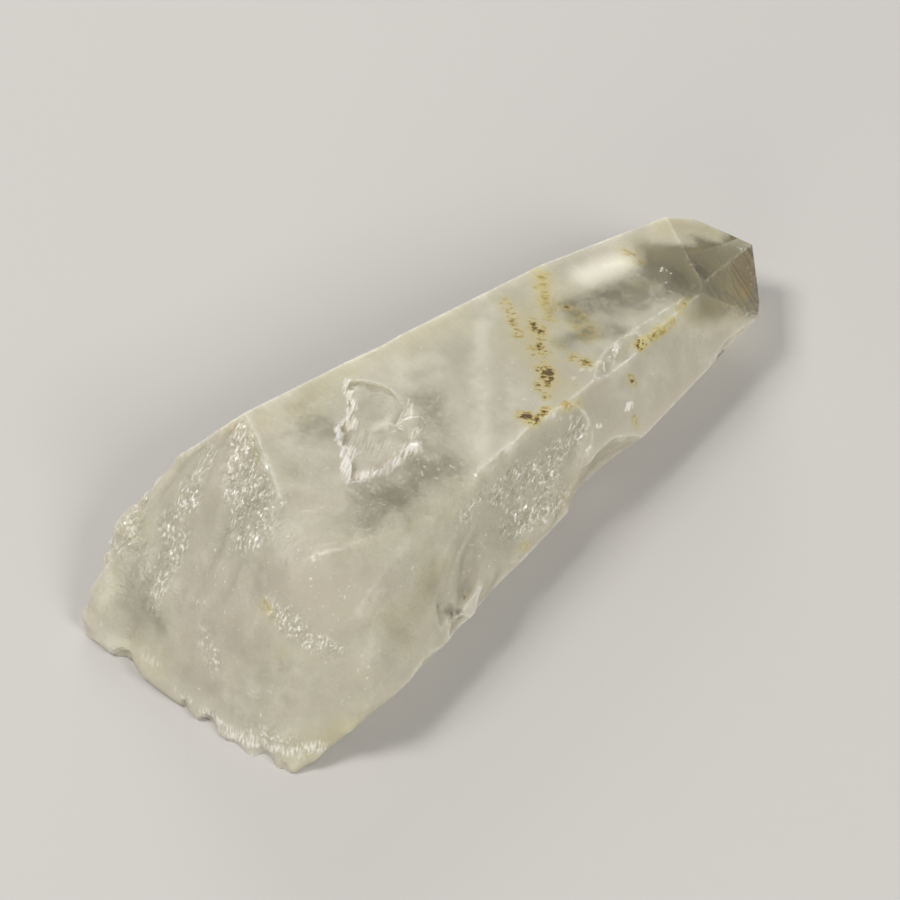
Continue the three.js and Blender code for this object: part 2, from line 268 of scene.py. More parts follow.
IRON = (
    along([(9.9, 7.6, 12.0), (9.1, 5.7, 12.0), (8.1, 3.8, 12.1)], 0.75, 0.75)
    + along([(14.9, 8.4, 11.6), (13.5, 6.2, 11.7), (12.9, 4.9, 11.7), (11.7, 3.8, 11.8)], 1.0, 0.62)
    + along([(10.3, 4.3, 11.9), (9.8, 2.5, 11.9)], 1.0, 1.0)
    + along([(13.9, 4.3, 11.6), (14.2, 3.2, 11.5)], 0.7, 0.8)
    + along([(13.8, 2.1, 11.5), (13.4, 0.3, 11.5)], 1.2, 0.85)
    + along([(8.8, 1.5, 12.0), (8.6, 0.5, 12.0)], 0.7, 1.15)
    + along([(7.8, 1.9, 12.1), (7.5, 0.9, 12.1)], 0.6, 0.8)
    + along([(10.0, 1.3, 11.9), (10.3, 0.2, 11.8)], 0.6, 0.7)
    + along([(7.3, -0.6, 12.0), (6.7, -2.2, 12.1)], 0.95, 1.5)
    + along([(5.4, -1.8, 12.2), (5.5, -3.2, 12.2)], 0.7, 0.95)
    + along([(6.6, -2.2, 12.1), (5.2, -3.3, 12.2)], 0.5, 1.1)
    + along([(10.4, -1.3, 11.8), (10.9, -2.6, 11.7)], 0.7, 0.9)
    + along([(1.9, -3.7, 12.5), (2.2, -4.2, 12.5)], 0.6, 1.4)
    + along([(1.8, -5.0, 12.5), (3.0, -4.9, 12.4), (4.2, -4.5, 12.3)], 0.5, 1.2)
    + along([(5.7, -5.1, 12.0), (7.3, -5.2, 11.2)], 0.6, 0.8)
    + along([(16.3, -3.4, 11.0), (16.8, -3.3, 11.0)], 0.5, 2.8)
    + along([(16.9, -3.3, 11.0), (20.8, -2.9, 10.5)], 0.55, 0.75)
    + along([(22.2, -2.4, 10.7), (23.7, -1.7, 10.6)], 0.6, 0.7)
    + along([(23.2, 6.1, 10.8), (23.4, 4.2, 10.7)], 0.7, 0.62)
    + along([(13.8, -4.9, 9.6), (14.1, -5.2, 8.9)], 0.5, 0.95)
    + along([(12.7, -7.0, 6.6), (12.8, -7.1, 6.2)], 0.5, 1.0)
    + along([(-27.3, -5.2, 10.3), (-27.0, -4.4, 10.6)], 0.5, 1.2)
    + along([(-3.6, -10.4, 4.8), (-3.2, -10.3, 4.6)], 0.5, 0.9)
    + along([(-26.8, -10.5, 7.8), (-26.6, -10.5, 7.6)], 0.24, 1.1)
    + along([(-30.7, -2.5, 6.5), (-30.7, -2.2, 6.5)], 0.2, 0.9)
    + along([(-27.9, -7.8, 8.3), (-27.7, -7.6, 8.3)], 0.24, 1.0)
)
TEA = [
    ((14.9, 8.4, 11.6), (12.0, 4.2, 11.7), 1.5, 1.25),
    ((13.8, 2.2, 11.5), (13.4, 0.2, 11.5), 1.6, 1.1),
    ((9.8, 5.0, 11.9), (7.0, -2.6, 12.1), 3.0, 0.42),
    ((16.9, -3.3, 11.0), (20.8, -2.9, 10.5), 0.9, 1.2),
    ((22.2, -2.4, 10.7), (23.7, -1.7, 10.6), 0.9, 1.0),
    ((19.0, 2.4, 11.1), (22.6, 2.0, 10.8), 1.6, 0.45),
]
THIN_RIM = (
    along([(-35.2, 11.2, 0.3), (-36.0, 8.6, 0.3), (-35.7, 2.3, 1.0)], 2.2, 1.0)
    + along([(-35.7, 2.3, 1.0), (-34.2, -4.2, 0.8), (-32.8, -9.4, 0.5), (-31.6, -13.2, 0.5)], 2.2, 1.0)
)
# Painted shade: dark lines in the clefts down the thick side and a dark pit on the front, where shade
# falls.
CLEFT_SHADE = (
    along([(-25.9, 14.3, 6.6), (-27.6, 13.9, 5.6), (-29.4, 12.9, 4.6)], 0.35, 1.0)
    + along([(-28.0, 12.4, 5.6), (-30.0, 11.2, 4.4)], 0.3, 0.9)
    + along([(-30.2, 12.6, 3.9), (-32.0, 11.2, 2.8)], 0.35, 0.8)
    + along([(-30.0, 10.5, 4.4), (-32.6, 6.0, 3.6)], 2.4, 0.35)
    + along([(-13.4, -12.4, 5.8), (-12.6, -12.6, 5.2)], 0.7, 0.7)
)


# ---------------------------------------------------------------- settings


class CrystalShape(bpy.types.PropertyGroup):
    fine: FloatProperty(
        name="Fine edge",
        description="Longest edge on the broken surfaces",
        default=0.27 * MM,
        unit="LENGTH",
    )
    spread: FloatProperty(
        name="Edge growth",
        description="How fast edges may lengthen away from a break",
        default=0.35,
    )
    coarse: FloatProperty(
        name="Coarse edge",
        description="Longest edge on the flat faces",
        default=1.2 * MM,
        unit="LENGTH",
    )
    rounds: IntProperty(name="Rounds", description="How often long edges are split", default=9)
    thinning: FloatProperty(
        name="Thinning", description="Share of the triangles kept in the breaks", default=0.6
    )
    crease_edge: FloatProperty(
        name="Crease edge",
        description="Longest edge along the creases",
        default=0.3 * MM,
        unit="LENGTH",
    )
    rounding_edge: FloatProperty(
        name="Rounding edge",
        description="Longest edge while the shoulder is rounded",
        default=1.2 * MM,
        unit="LENGTH",
    )
    rounding: IntProperty(name="Rounding", description="How often the shoulder is smoothed", default=30)
    fade: FloatProperty(
        name="Relief fade",
        description="Where relief starts beside a flat face",
        default=0.7 * MM,
        unit="LENGTH",
    )
    swell_size: FloatProperty(
        name="Swell size",
        description="Size of the broad swells in a break",
        default=4.5 * MM,
        unit="LENGTH",
    )
    swell_depth: FloatProperty(
        name="Swell depth", description="Depth of the broad swells", default=0.4 * MM, unit="LENGTH"
    )
    hackle_size: FloatProperty(
        name="Hackle size",
        description="Width of the steps that run down a break",
        default=1.6 * MM,
        unit="LENGTH",
    )
    hackle_depth: FloatProperty(
        name="Hackle depth", description="Height of those steps", default=0.3 * MM, unit="LENGTH"
    )
    glitter_size: FloatProperty(
        name="Glitter size",
        description="Size of the sparkling facets",
        default=0.9 * MM,
        unit="LENGTH",
    )
    glitter_depth: FloatProperty(
        name="Glitter depth",
        description="Depth of the sparkling facets",
        default=0.18 * MM,
        unit="LENGTH",
    )
    ledge_size: FloatProperty(
        name="Ledge size",
        description="Size of the ledges down the thick side",
        default=2.2 * MM,
        unit="LENGTH",
    )
    ledge_depth: FloatProperty(
        name="Ledge depth", description="Height of those ledges", default=0.55 * MM, unit="LENGTH"
    )
    fullness: FloatProperty(
        name="Fullness",
        description="How far the thick side swells out above the toe",
        default=1.5 * MM,
        unit="LENGTH",
    )
    notch_depth: FloatProperty(
        name="Notch depth",
        description="How far the notches go into the rim",
        default=1.1 * MM,
        unit="LENGTH",
    )
    wobble: FloatProperty(
        name="Rim wobble",
        description="How far a break's rim strays",
        default=0.16 * MM,
        unit="LENGTH",
    )


class CrystalFinish(bpy.types.PropertyGroup):
    milk: FloatVectorProperty(
        name="Milky quartz",
        description="Colour of the milky body",
        subtype="COLOR",
        default=(0.50, 0.475, 0.38),
    )
    pale: FloatVectorProperty(
        name="Chalky zones",
        description="Colour of the whiter zones",
        subtype="COLOR",
        default=(0.67, 0.65, 0.555),
    )
    cool: FloatVectorProperty(
        name="Cool clouds",
        description="Colour of the greyer clouds",
        subtype="COLOR",
        default=(0.42, 0.405, 0.32),
    )
    blush: FloatVectorProperty(
        name="Blush",
        description="Colour of the warmer clouds",
        subtype="COLOR",
        default=(0.52, 0.475, 0.39),
    )
    warm: FloatVectorProperty(
        name="Yellowed quartz",
        description="Colour of the yellowed edges",
        subtype="COLOR",
        default=(0.52, 0.48, 0.33),
    )
    # Also the colour of the painted glints, the painted highlight along the edges and the painted light of
    # the thin rim.
    white: FloatVectorProperty(
        name="Bruised quartz",
        description="Colour where it is crushed",
        subtype="COLOR",
        default=(0.83, 0.81, 0.745),
    )
    clear: FloatVectorProperty(
        name="Clear quartz",
        description="Colour of the clear parts",
        subtype="COLOR",
        default=(0.90, 0.875, 0.69),
    )
    # The colour of the painted glow by the point, a highlight painted as pale colour.
    painted_glow: FloatVectorProperty(
        name="Sheen",
        description="Colour of the bright veil by the point",
        subtype="COLOR",
        default=(0.86, 0.84, 0.73),
    )
    tea: FloatVectorProperty(
        name="Stain haze",
        description="Colour of the quartz around the iron",
        subtype="COLOR",
        default=(0.56, 0.49, 0.22),
    )
    ochre: FloatVectorProperty(
        name="Ochre",
        description="Colour of the thin iron stain",
        subtype="COLOR",
        default=(0.42, 0.32, 0.10),
    )
    rust: FloatVectorProperty(
        name="Rust",
        description="Colour of the thick iron stain",
        subtype="COLOR",
        default=(0.085, 0.040, 0.007),
    )
    # The colour of the painted shade in the clefts.
    cleft_shade: FloatVectorProperty(
        name="Grime",
        description="Colour of the dirt in the clefts",
        subtype="COLOR",
        default=(0.14, 0.12, 0.09),
    )
    glow: FloatProperty(
        name="Glow", description="How far light spreads in the milk", default=5 * MM, unit="LENGTH"
    )


class CrystalStudio(bpy.types.PropertyGroup):
    azimuth: FloatProperty(
        name="Azimuth",
        description="Where the camera stands",
        default=math.radians(-40),
        subtype="ANGLE",
    )
    elevation: FloatProperty(
        name="Elevation",
        description="How high the camera stands",
        default=math.radians(50),
        subtype="ANGLE",
    )
    distance: FloatProperty(name="Distance", description="Camera to aim", default=0.26, unit="LENGTH")
    lens: FloatProperty(name="Lens", description="Focal length in millimetres", default=117)
    aim: FloatVectorProperty(
        name="Aim",
        description="The point the camera looks at",
        subtype="XYZ",
        unit="LENGTH",
        default=(-1.834 * MM, 1.337 * MM, 6.0 * MM),
    )
    floor: FloatVectorProperty(
        name="Floor", description="Colour of the floor", subtype="COLOR", default=(0.55, 0.54, 0.52)
    )


# ---------------------------------------------------------------- shape


def deselect_all():
    bpy.ops.object.select_all(action="DESELECT")


def direction(bearing, rise):
    """The unit vector that a bearing and a rise in degrees give."""
    around, up = math.radians(bearing), math.radians(rise)
    return Vector((math.cos(up) * math.cos(around), math.cos(up) * math.sin(around), math.sin(up)))


def eased(value, low, high):
    """Nothing up to low, one from high on, and a smooth rise between them."""
    share = numpy.clip((value - low) / (high - low), 0, 1)
    return share * share * (3 - 2 * share)


def places_of(mesh):
    """The vertices' places in millimetres."""
    flat = numpy.empty(len(mesh.vertices) * 3)
    mesh.vertices.foreach_get("co", flat)
    return flat.reshape(-1, 3) / MM


def marked(places, marks, core=0.25):
    """How strongly each place is marked: a mark fades from its core, a share of its reach, to nothing."""
    strongest = numpy.zeros(len(places))
    for start, end, reach, strength in marks:
        length = numpy.subtract(end, start)
        share = numpy.clip((places - start) @ length / (length @ length), 0, 1)
        away = numpy.linalg.norm(places - start - numpy.outer(share, length), axis=1) / reach
        strongest = numpy.maximum(strongest, strength * eased(1 - away, 0, 1 - core))
    return strongest


def widened(marks, share):
    """The marks with their reach multiplied."""
    return [(start, end, reach * share, strength) for start, end, reach, strength in marks]


def strayed(places, size, reach):
    """The places moved about by a noise, so that outlines read from them are ragged."""
    moves = [noise.turbulence_vector(place / size, 3, False) for place in map(Vector, places)]
    return places + numpy.array(moves) * reach


def tree_of_points(points):
    """The points, kept so that the nearest to a place is found fast."""
    tree = KDTree(len(points))
    for index, point in enumerate(points):
        tree.insert(point, index)
    tree.balance()
    return tree


def tree_of_facets(mesh, faces):
    """The same for facets of the mesh."""
    return BVHTree.FromPolygons([v.co for v in mesh.vertices], [tuple(face.vertices) for face in faces])


def tree_of_marks(marks, step):
    """Points along the marks' middle lines."""
    points = []
    for start, end, reach, strength in marks:
        first, last = Vector(start), Vector(end)
        count = math.ceil((last - first).length / step) + 1
        points += [first.lerp(last, index / count) * MM for index in range(count + 1)]
    return tree_of_points(points)


def tree_of_creases(mesh, kinds):
    """Points along the edges of the flat faces."""
    faces_of = {}
    for face, kind in zip(mesh.polygons, kinds):
        for key in face.edge_keys:
            faces_of.setdefault(key, []).append((kind, face.normal))
    points = []
    for (first, second), ((one, normal), (other, opposite)) in faces_of.items():
        if one != other and normal.dot(opposite) < math.cos(CREASE):
            start, end = mesh.vertices[first].co, mesh.vertices[second].co
            count = math.ceil((end - start).length / CREASE_STEP)
            points += [start.lerp(end, index / count) for index in range(count + 1)]
    return tree_of_points(points)


def copy_of_node(name, node):
    """A copy of a node of the frame, with its loose triangles joined."""
    deselect_all()
    node.select_set(True)
    bpy.context.view_layer.objects.active = node
    bpy.ops.object.duplicate()
    piece = bpy.context.active_object
    piece.name = name
    piece.data.name = name
    del piece["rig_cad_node"]
    bpy.ops.mesh.customdata_custom_splitnormals_clear()
    bpy.ops.object.mode_set(mode="EDIT")
    bpy.ops.mesh.select_all(action="SELECT")
    bpy.ops.mesh.remove_doubles(threshold=MERGED_WITHIN)
    bpy.ops.object.mode_set(mode="OBJECT")
    return piece


class GrownPlanes:
    """The planes of the crystal's flat faces, each the one with the largest facets that look its way."""

    def __init__(self, mesh):
        self.planes = []
        for bearing, rise in GROWN_FACES.values():
            normal = direction(bearing, rise)
            areas = {}
            for face in mesh.polygons:
                if face.normal.dot(normal) > math.cos(FACE_TURN):
                    step = round(normal.dot(face.center) / FACE_STEP)
                    areas[step] = areas.get(step, 0) + face.area
            if not areas:
                raise RuntimeError(f"no facet faces bearing {bearing}, rise {rise}")
            self.planes.append((normal, max(areas, key=areas.get) * FACE_STEP))

    def of(self, normal, centre):
        """The number of the plane that a facet lies on, or None in a break."""
        for number, (outward, offset) in enumerate(self.planes):
            near = abs(outward.dot(centre) - offset) < FACE_STEP
            if near and normal.dot(outward) > math.cos(FACE_TURN):
                return number
        return None

    def kept_to(self, move, numbers):
        """A move with the part that would leave these planes taken away."""
        normals = [self.planes[number][0] for number in numbers]
        if len(normals) == 1:
            return move - normals[0] * move.dot(normals[0])
        if len(normals) == 2:
            edge = normals[0].cross(normals[1]).normalized()
            return edge * move.dot(edge)
        return Vector() if normals else move


def refine(piece, longest_at, rounds):
    """Splits edges until each is as short as longest_at says for its middle."""
    mesh = piece.data
    bpy.ops.object.mode_set(mode="EDIT")
    bpy.ops.mesh.select_mode(type="EDGE")
    for _ in range(rounds):
        solid = bmesh.from_edit_mesh(mesh)
        for face in solid.faces:
            face.select = False
        long_edges = []
        for edge in solid.edges:
            middle = (edge.verts[0].co + edge.verts[1].co) / 2
            if edge.calc_length() > longest_at(middle):
                long_edges.append(edge)
        if not long_edges:
            break
        for edge in long_edges:
            edge.select = True
        bmesh.update_edit_mesh(mesh)
        bpy.ops.mesh.subdivide(number_cuts=1, ngon=False)
        bpy.ops.mesh.select_all(action="SELECT")
        bpy.ops.mesh.quads_convert_to_tris(quad_method="BEAUTY", ngon_method="BEAUTY")
        bpy.ops.mesh.beautify_fill(angle_limit=FLAT_TURN)
    bpy.ops.object.mode_set(mode="OBJECT")


def group(piece, name, weights):
    """Keeps the weights as a vertex group that modifiers read."""
    vertices = piece.vertex_groups.new(name=name)
    for index, weight in enumerate(weights):
        vertices.add([index], weight, "REPLACE")


def look(piece, name, weights):
    """Keeps the weights as an attribute that the material reads."""
    attribute = piece.data.attributes.new(name + "_look", "FLOAT", "POINT")
    attribute.data.foreach_set("value", numpy.clip(weights, 0, None))


def thin(piece, group, share):
    """Collapses edges where the vertex group says, until that share of the triangles is left."""
    modifier = piece.modifiers.new("Thin", "DECIMATE")
    modifier.ratio = share
    modifier.vertex_group = group
    bpy.ops.object.modifier_apply(modifier=modifier.name)


def smooth(piece, group, turns, factor=0.5):
    """Smooths the surface where the vertex group says."""
    modifier = piece.modifiers.new("Smooth", "SMOOTH")
    modifier.vertex_group = group
    modifier.iterations = turns
    modifier.factor = factor
    bpy.ops.object.modifier_apply(modifier=modifier.name)


def relief(piece, weights, height_at):
    """Moves the surface in and out by height_at of the place, where the weights say."""
    normals = [vertex.normal.copy() for vertex in piece.data.vertices]
    for vertex, normal, weight in zip(piece.data.vertices, normals, weights):
        if weight > 0:
            vertex.co += normal * height_at(vertex.co) * weight


def shift(piece, weights, move):
    """Moves the surface bodily, where the weights say."""
    for vertex, weight in zip(piece.data.vertices, weights):
        if weight > 0:
            vertex.co += move * weight


def drawn_out(point, way, stretch):
    """The place squeezed along a way, so that a noise read there is drawn out along it."""
    return point - way * point.dot(way) * (1 - 1 / stretch)


def stepped(value, steps):
    """A height turned into terraces, each a gentle tread and a steep riser."""
    scaled = value * steps
    tread = math.floor(scaled)
    share = scaled - tread
    riser = max(0, share - 0.7) / 0.3
    return (tread + 0.35 * share + 0.65 * riser * riser * (3 - 2 * riser)) / steps


def keep_inside(piece, box):
    """Keeps every vertex inside a box."""
    for vertex in piece.data.vertices:
        vertex.co = Vector(min(max(value, low), high) for value, low, high in zip(vertex.co, *box))


def wobble_rims(piece, planes, breaks, reach):
    """Strays the rims of the breaks, without taking any flat face out of its plane."""
    mesh = piece.data
    sides = [set() for _ in mesh.vertices]
    for face in mesh.polygons:
        number = planes.of(face.normal, face.center)
        if number is not None:
            for index in face.vertices:
                sides[index].add(number)
    for vertex in mesh.vertices:
        away = breaks.find_nearest(vertex.co)[3]
        if away > RIM_WIDTH:
            continue
        share = 1 - away / RIM_WIDTH
        broad = noise.noise_vector(vertex.co / BROAD_STRAY)
        narrow = noise.noise_vector(vertex.co / NARROW_STRAY)
        move = (broad + 0.4 * narrow) * reach * share
        vertex.co += planes.kept_to(move, sorted(sides[vertex.index]))


def softness(places):
    """How far the shoulder is rounded at each place."""
    return eased(marked(places, SOFT_SHOULDER, 0), 0, 0.8)


def brokenness(mesh, grown, fade):
    """How far each vertex lies in a break, from nothing on the flat faces to one."""
    away = numpy.array([grown.find_nearest(vertex.co)[3] for vertex in mesh.vertices])
    return eased(away, 0.02 * MM, fade)


def round_shoulder(piece, shape, shoulder):
    """Rounds the shoulder, where the break runs over the top."""

    def longest(point):
        return shape.rounding_edge if shoulder.find(point)[2] < ROUNDED_WITHIN else shape.coarse

    refine(piece, longest, shape.rounds)
    group(piece, "soft", softness(places_of(piece.data)))
    smooth(piece, "soft", shape.rounding, 0.8)


def split_edges(piece, shape, shoulder, breaks, creases):
    """Splits edges by the breaks, the creases, the shoulder and the small marks."""
    details = tree_of_marks(IRON + THREADS + BRUISES_AND_PAINTED_LIGHT + PAINTED_GLOW, DETAIL_STEP)

    def longest(point):
        near_break = shape.fine + shape.spread * breaks.find_nearest(point)[3]
        near_detail = shape.fine + shape.spread * max(0, details.find(point)[2] - DETAIL_REACH)
        near_shoulder = 2 * shape.fine if shoulder.find(point)[2] < ROUNDED_WITHIN else shape.coarse
        near_crease = shape.crease_edge + shape.spread * creases.find(point)[2]
        return min(near_break, near_detail, near_shoulder, near_crease, shape.coarse)

    refine(piece, longest, shape.rounds)


def carve(piece, shape, broken, creases):
    """Works the relief into the breaks, and keeps what the material has to know of it."""
    mesh = piece.data
    places = places_of(mesh)
    soft = softness(places)
    sparkle = marked(strayed(places, 1.5, 0.4), SPARKLES, 0.3) * broken
    fall = Vector(HACKLE).normalized()

    def fuller(point):
        return shape.fullness

    def swells(point):
        return noise.noise(point / shape.swell_size) * shape.swell_depth

    def ledges(point):
        place = drawn_out(point, fall, 2.5) / shape.ledge_size
        return stepped(noise.fractal(place, 0.7, 2.0, 2), 2) * shape.ledge_depth

    def hackles(point):
        place = drawn_out(point, fall, 3.5) / shape.hackle_size
        return stepped(noise.fractal(place, 0.9, 2.0, 3), 3) * shape.hackle_depth

    def facets(point):
        place = drawn_out(point, fall, 2.0) / shape.glitter_size
        return stepped(noise.fractal(place, 0.8, 2.0, 2), 4) * shape.glitter_depth

    # The rim is hardly thicker than the relief is deep, so it takes little of it.
    steady = broken * (1 - 0.85 * marked(places, THIN_RIM, 0.4))
    relief(piece, broken * marked(places, FULL_SIDE, 0.2), fuller)
    shift(piece, marked(strayed(places, 1.2, 0.3), NOTCHES, 0.1), INWARD * shape.notch_depth)
    relief(piece, steady, swells)
    relief(piece, steady * marked(places, LEDGES, 0.4), ledges)
    relief(piece, steady * (1 - 0.8 * soft), hackles)
    relief(piece, sparkle, facets)
    keep_inside(piece, CAD_BOX)
    look(piece, "broken", numpy.maximum(broken, soft))
    # A painted highlight: white along the creases where the flat faces meet, kept as the edge look.
    edge_highlight = numpy.array([1 - creases.find(vertex.co)[2] / EDGE_HIGHLIGHT_WIDTH for vertex in mesh.vertices])
    look(piece, "edge", edge_highlight * (1 - soft))
    look(piece, "sparkle", sparkle)


def shape_crystal(piece, shape):
    """Turns a copy of the frame's plain solid into the crystal."""
    mesh = piece.data
    planes = GrownPlanes(mesh)
    kinds = [planes.of(face.normal, face.center) for face in mesh.polygons]
    breaks = tree_of_facets(mesh, [face for face, kind in zip(mesh.polygons, kinds) if kind is None])
    grown = tree_of_facets(mesh, [face for face, kind in zip(mesh.polygons, kinds) if kind is not None])
    creases = tree_of_creases(mesh, kinds)
    shoulder = tree_of_marks(SOFT_SHOULDER, SHOULDER_STEP)
    round_shoulder(piece, shape, shoulder)
    split_edges(piece, shape, shoulder, breaks, creases)
    wobble_rims(piece, planes, breaks, shape.wobble)
    group(piece, "broken", brokenness(mesh, grown, shape.fade))
    thin(piece, "broken", shape.thinning)
    smooth(piece, "broken", SETTLING)
    carve(piece, shape, brokenness(mesh, grown, shape.fade), creases)


def mark_crystal(piece):
    """Marks where the quartz is clear, chalky, yellowed, bruised or rusty, and where light and shade are
    painted: a glow by the point, glints, the lit thin rim and shade in the clefts.
    """
    places = places_of(piece.data)
    ragged = strayed(places, 4, 1.0)
    edged = strayed(places, 0.8, 0.3)
    windows = marked(ragged, WINDOWS, 0)
    fog = marked(strayed(places, 2.5, 0.6), FOG, 0.1)
    look(piece, "clear", windows * (1 - numpy.minimum(fog, 1)))
    look(piece, "point", marked(places, POINT, 0))
    look(piece, "band", marked(strayed(places, 2, 0.25), ZONE_BAND, 0.1))
    look(piece, "warm", marked(ragged, WARM, 0.1))
    # Crushed quartz, painted glints and the painted light of the thin rim.
    look(piece, "bruise_and_painted_light", marked(edged, BRUISES_AND_PAINTED_LIGHT))
    # The painted glow by the point.
    look(piece, "painted_glow", marked(places, PAINTED_GLOW, 0))
    look(piece, "thread", marked(strayed(places, 1.6, 0.25), THREADS))
    look(piece, "iron", marked(edged, widened(IRON, 1.35), 0))
    look(piece, "haze", marked(edged, widened(IRON, 1.8) + TEA, 0))
    look(piece, "rim", marked(places, THIN_RIM, 0.3))
    # The painted shade in the clefts.
    look(piece, "cleft_shade", marked(edged, CLEFT_SHADE))


# ---------------------------------------------------------------- finish


class NodeTable:
    """Lays out a material's nodes and links them."""

    def __init__(self, material):
        material.use_nodes = True
        self.tree = material.node_tree
        self.tree.nodes.clear()

    def put(self, socket, value):
        """Links a value that another node gives, and sets a plain one."""
        if isinstance(value, bpy.types.NodeSocket):
            self.tree.links.new(value, socket)
        else:
            socket.default_value = value

    def feed(self, node, name, value):
        self.put(node.inputs[int(name)] if name.isdigit() else node.inputs[name], value)

    def add(self, kind, settings=None, **inputs):
        node = self.tree.nodes.new(kind)
        for key, value in (settings or {}).items():
            setattr(node, key, value)
        for key, value in inputs.items():
            self.feed(node, key.replace("_", " "), value)
        return node

    def maths(self, operation, first, second):
        node = self.add("ShaderNodeMath", {"operation": operation})
        self.put(node.inputs[0], first)
        self.put(node.inputs[1], second)
        return node.outputs[0]

    def times(self, first, second):
        return self.maths("MULTIPLY", first, second)

    def plus(self, first, second):
        return self.maths("ADD", first, second)

    def less(self, first, second):
        return self.maths("SUBTRACT", first, second)

    def most(self, first, *others):
        for other in others:
            first = self.maths("MAXIMUM", first, other)
        return first

    def vector(self, operation, *values):
        node = self.add("ShaderNodeVectorMath", {"operation": operation})
        for socket, value in zip(node.inputs, values):
            self.put(socket, value)
        return node.outputs[0]

    def ramp(self, value, low, high, start=0.0, end=1.0):
        """A smooth rise from start at low to end at high."""
        node = self.add("ShaderNodeMapRange", {"interpolation_type": "SMOOTHSTEP"}, Value=value)
        for name, given in (("From Min", low), ("From Max", high), ("To Min", start), ("To Max", end)):
            self.feed(node, name, given)
        return node.outputs[0]

    def mix(self, share, first, second):
        node = self.add("ShaderNodeMix", {"data_type": "RGBA"})
        for number, given in ((0, share), (6, first), (7, second)):
            self.put(node.inputs[number], given)
        return node.outputs[2]

    def noise(self, place, size, detail=2.0, roughness=0.5, distortion=0.0):
        node = self.add("ShaderNodeTexNoise", Vector=place, Scale=1 / size, Detail=detail)
        node.inputs["Roughness"].default_value = roughness
        node.inputs["Distortion"].default_value = distortion
        return node.outputs["Fac"]

    def grain(self, place, turn, lengths, detail):
        """A noise drawn out into streaks: its turn in degrees and the streak's three lengths."""
        turned = [math.radians(angle) for angle in turn]
        local = self.add(
            "ShaderNodeMapping", {"vector_type": "TEXTURE"}, Vector=place, Rotation=turned, Scale=lengths
        )
        return self.noise(local.outputs[0], 1.0, detail)

    def look(self, name):
        """A value kept on the vertices."""
        return self.add("ShaderNodeAttribute", {"attribute_name": name + "_look"}).outputs["Fac"]


def opaque(colour):
    """A colour with the fourth number that sockets want."""
    return (*colour, 1.0)


def clearness_of(nodes, place):
    """Windows in the milk, with fog drifting through them."""
    drift = nodes.ramp(nodes.noise(place, 2.6, 3, 0.5, 0.4), 0.3, 0.8, 0.0, 0.24)
    specks = nodes.ramp(nodes.noise(place, 0.3, 1), 0.5, 0.8, 0.0, 0.15)
    veiled = nodes.less(nodes.look("clear"), nodes.plus(drift, specks))
    return nodes.ramp(veiled, -0.15, 1.1)


def milk_of(nodes, place, whole, finish):
    """The milky body: pale clouds, growth zones that cross the flat faces, and yellowed edges."""
    clouds = nodes.noise(place, 7, 3, 0.55)
    zones = nodes.times(nodes.grain(place, ZONE_TURN, (1.8, 22, 22), 4), whole)
    puffs = nodes.noise(place, 1.8, 4, 0.6)
    chalky = nodes.plus(nodes.plus(clouds, nodes.times(puffs, 0.5)), nodes.times(zones, 0.4))
    chalky = nodes.most(nodes.ramp(chalky, 0.7, 1.3), nodes.look("band"))
    milk = nodes.mix(chalky, opaque(finish.milk), opaque(finish.pale))
    cool = nodes.ramp(nodes.noise(place, 3.4, 3, 0.55), 0.45, 0.68)
    milk = nodes.mix(nodes.times(cool, 0.55), milk, opaque(finish.cool))
    blush = nodes.ramp(nodes.noise(place, 11, 2), 0.48, 0.62)
    milk = nodes.mix(nodes.times(blush, 0.6), milk, opaque(finish.blush))
    return nodes.mix(nodes.look("warm"), milk, opaque(finish.warm))


def bruises_and_painted_light_of(nodes, place):
    """White where the quartz is crushed, and painted light from the same marks: glints and the lit thin
    bottom rim.
    """
    fibres = nodes.grain(place, FIBRE_TURN, (1.5, 0.17, 0.6), 4)
    crushed = nodes.times(nodes.look("bruise_and_painted_light"), nodes.ramp(fibres, 0.35, 0.65, 0.3, 1.15))
    return nodes.ramp(crushed, 0.15, 0.9)


def threads_and_edge_highlights_of(nodes, flecks, clearness):
    """White along the cracks, and a painted highlight along the edges; both fainter in the clear parts."""
    # The edge look gives a painted highlight along the edges, broken up by the flecks.
    edges = nodes.times(nodes.ramp(nodes.look("edge"), 0.0, 1.0), nodes.ramp(flecks, 0.4, 0.6, 0.1, 0.5))
    threads_and_edge_highlights = nodes.most(nodes.times(nodes.look("thread"), 0.8), edges)
    return nodes.times(threads_and_edge_highlights, nodes.ramp(clearness, 0.4, 0.9, 1.0, 0.4))


def painted_glints_of(nodes, place, sparkle):
    """Painted glints: white dabs where the quartz sparkles, standing in for the light its tiny facets
    catch.
    """
    painted_glints = nodes.ramp(nodes.grain(place, HACKLE_TURN, (0.55, 0.24, 0.24), 3), 0.52, 0.64)
    painted_glints = nodes.times(painted_glints, nodes.ramp(nodes.noise(place, 1.4, 2), 0.36, 0.54))
    return nodes.times(painted_glints, nodes.ramp(sparkle, 0.05, 0.6))


def crumbs_of(nodes, place):
    """White in scattered crumbs."""
    crumbs = nodes.ramp(nodes.noise(place, 0.35, 2), 0.64, 0.74)
    return nodes.times(crumbs, nodes.ramp(nodes.noise(place, 5, 2), 0.45, 0.65, 0.05, 0.6))


